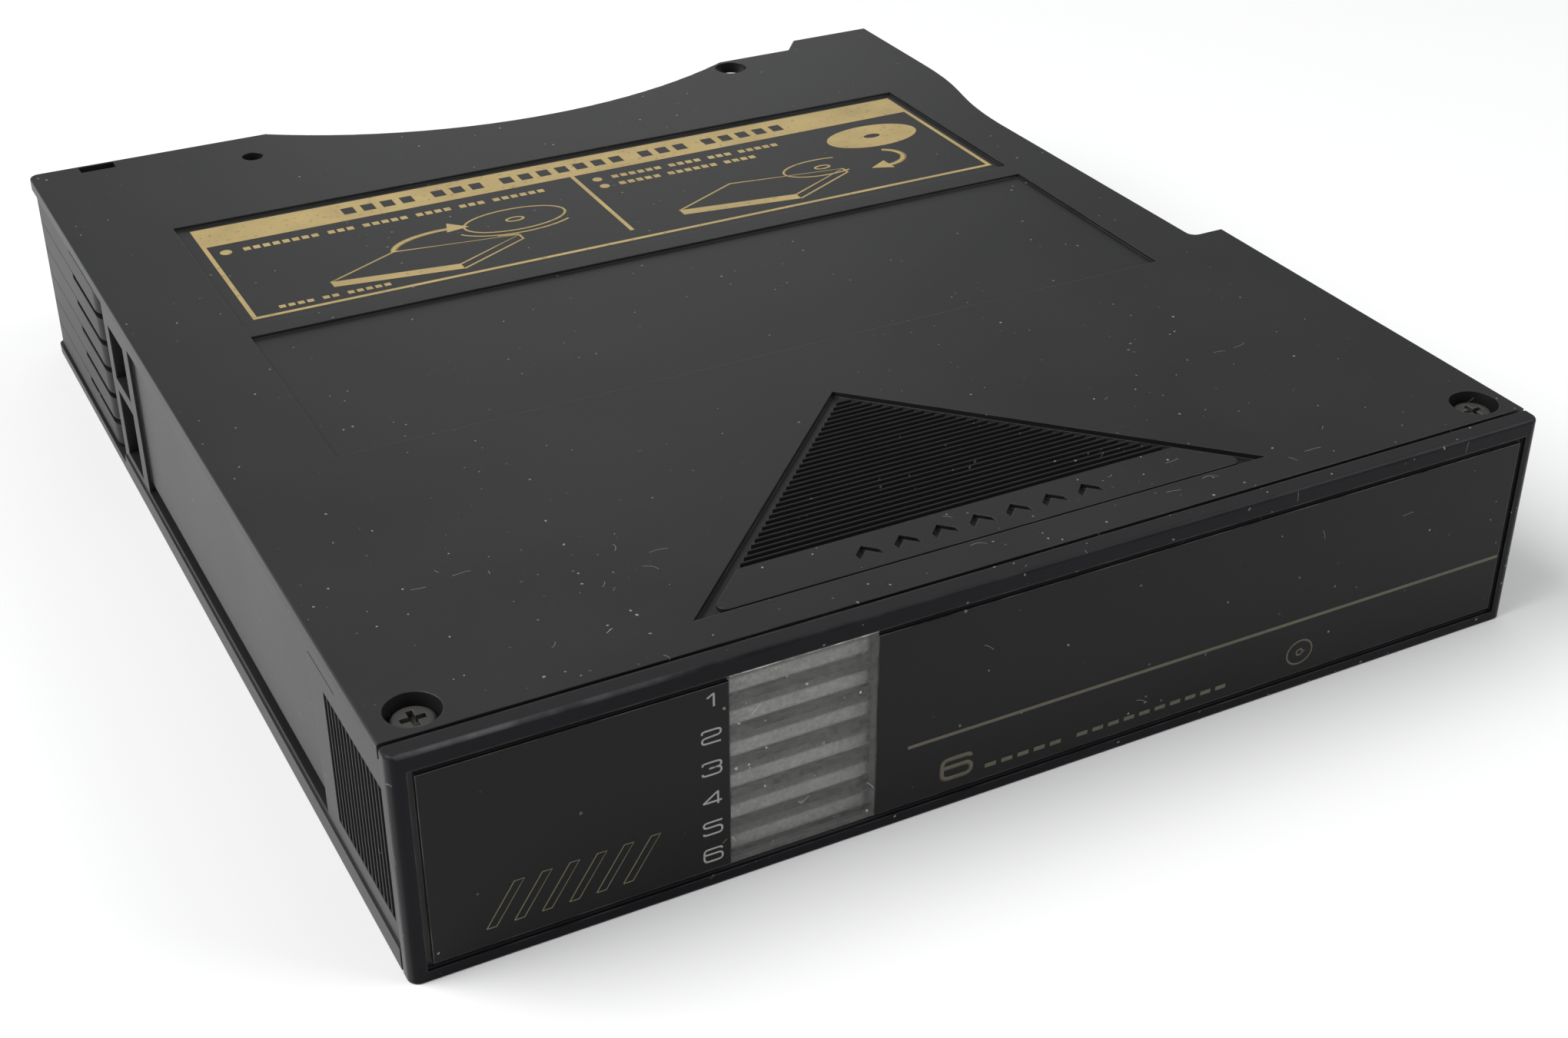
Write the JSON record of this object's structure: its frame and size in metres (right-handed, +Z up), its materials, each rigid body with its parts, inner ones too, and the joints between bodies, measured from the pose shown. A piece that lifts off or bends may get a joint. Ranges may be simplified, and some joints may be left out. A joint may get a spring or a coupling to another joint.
{
  "type": "disc magazine",
  "caption": "Flat black disc magazine whose thin trays swing out one by one about a shaft at the rear left corner; windowed front, ribbed sides.",
  "frame": {"origin": "middle of the underside of the closed case", "axes": "+Z up out of the top cover, -Y out of the windowed front, -X towards the side with the rail groove and the tray shaft"},
  "size_m": [0.148, 0.163, 0.0292],
  "materials": {
    "case_plastic": "black, fine grain, half gloss on the sides",
    "cover_plastic": "black, fine grain, matt",
    "bezel_plastic": "black, polished edge",
    "panel_plastic": "black, smooth, with light numbers and a gold line",
    "window_plastic": "clear grey plastic",
    "guide_plastic": "black, moulded",
    "tray_plastic": "black, moulded",
    "strip_plastic": "light grey",
    "washer_plastic": "natural, smooth",
    "spring_steel": "bright sheet",
    "shaft_steel": "ground",
    "screw_steel": "black zinc"
  },
  "bodies": {
    "case": {"base_case": "case_plastic", "top_cover": "cover_plastic", "front_bezel": "bezel_plastic", "front_panel": "panel_plastic", "index_window": "window_plastic", "tray_guide": "guide_plastic", "detent_spring": "spring_steel", "pivot_shaft": "shaft_steel", "hub_washers": "washer_plastic", "hub_spring": "spring_steel", "cover_screws": "screw_steel"},
    "swing_tray_1": {"tray_1": "tray_plastic", "index_strip_1": "strip_plastic"},
    "swing_tray_2": {"tray_2": "tray_plastic", "index_strip_2": "strip_plastic"},
    "swing_tray_3": {"tray_3": "tray_plastic", "index_strip_3": "strip_plastic"},
    "swing_tray_4": {"tray_4": "tray_plastic", "index_strip_4": "strip_plastic"},
    "swing_tray_5": {"tray_5": "tray_plastic", "index_strip_5": "strip_plastic"},
    "swing_tray_6": {"tray_6": "tray_plastic", "index_strip_6": "strip_plastic"}
  },
  "joints": [
    {"name": "tray_1_swing", "type": "hinge", "parent": "case", "child": "swing_tray_1", "pos_m": [-0.064, 0.0725, 0.02435], "axis": [0, 0, 1], "range_deg": [0, 95]},
    {"name": "tray_2_swing", "type": "hinge", "parent": "case", "child": "swing_tray_2", "pos_m": [-0.064, 0.0725, 0.02015], "axis": [0, 0, 1], "range_deg": [0, 95]},
    {"name": "tray_3_swing", "type": "hinge", "parent": "case", "child": "swing_tray_3", "pos_m": [-0.064, 0.0725, 0.01595], "axis": [0, 0, 1], "range_deg": [0, 95]},
    {"name": "tray_4_swing", "type": "hinge", "parent": "case", "child": "swing_tray_4", "pos_m": [-0.064, 0.0725, 0.01175], "axis": [0, 0, 1], "range_deg": [0, 95]},
    {"name": "tray_5_swing", "type": "hinge", "parent": "case", "child": "swing_tray_5", "pos_m": [-0.064, 0.0725, 0.00755], "axis": [0, 0, 1], "range_deg": [0, 95]},
    {"name": "tray_6_swing", "type": "hinge", "parent": "case", "child": "swing_tray_6", "pos_m": [-0.064, 0.0725, 0.00335], "axis": [0, 0, 1], "range_deg": [0, 95]}
  ]
}
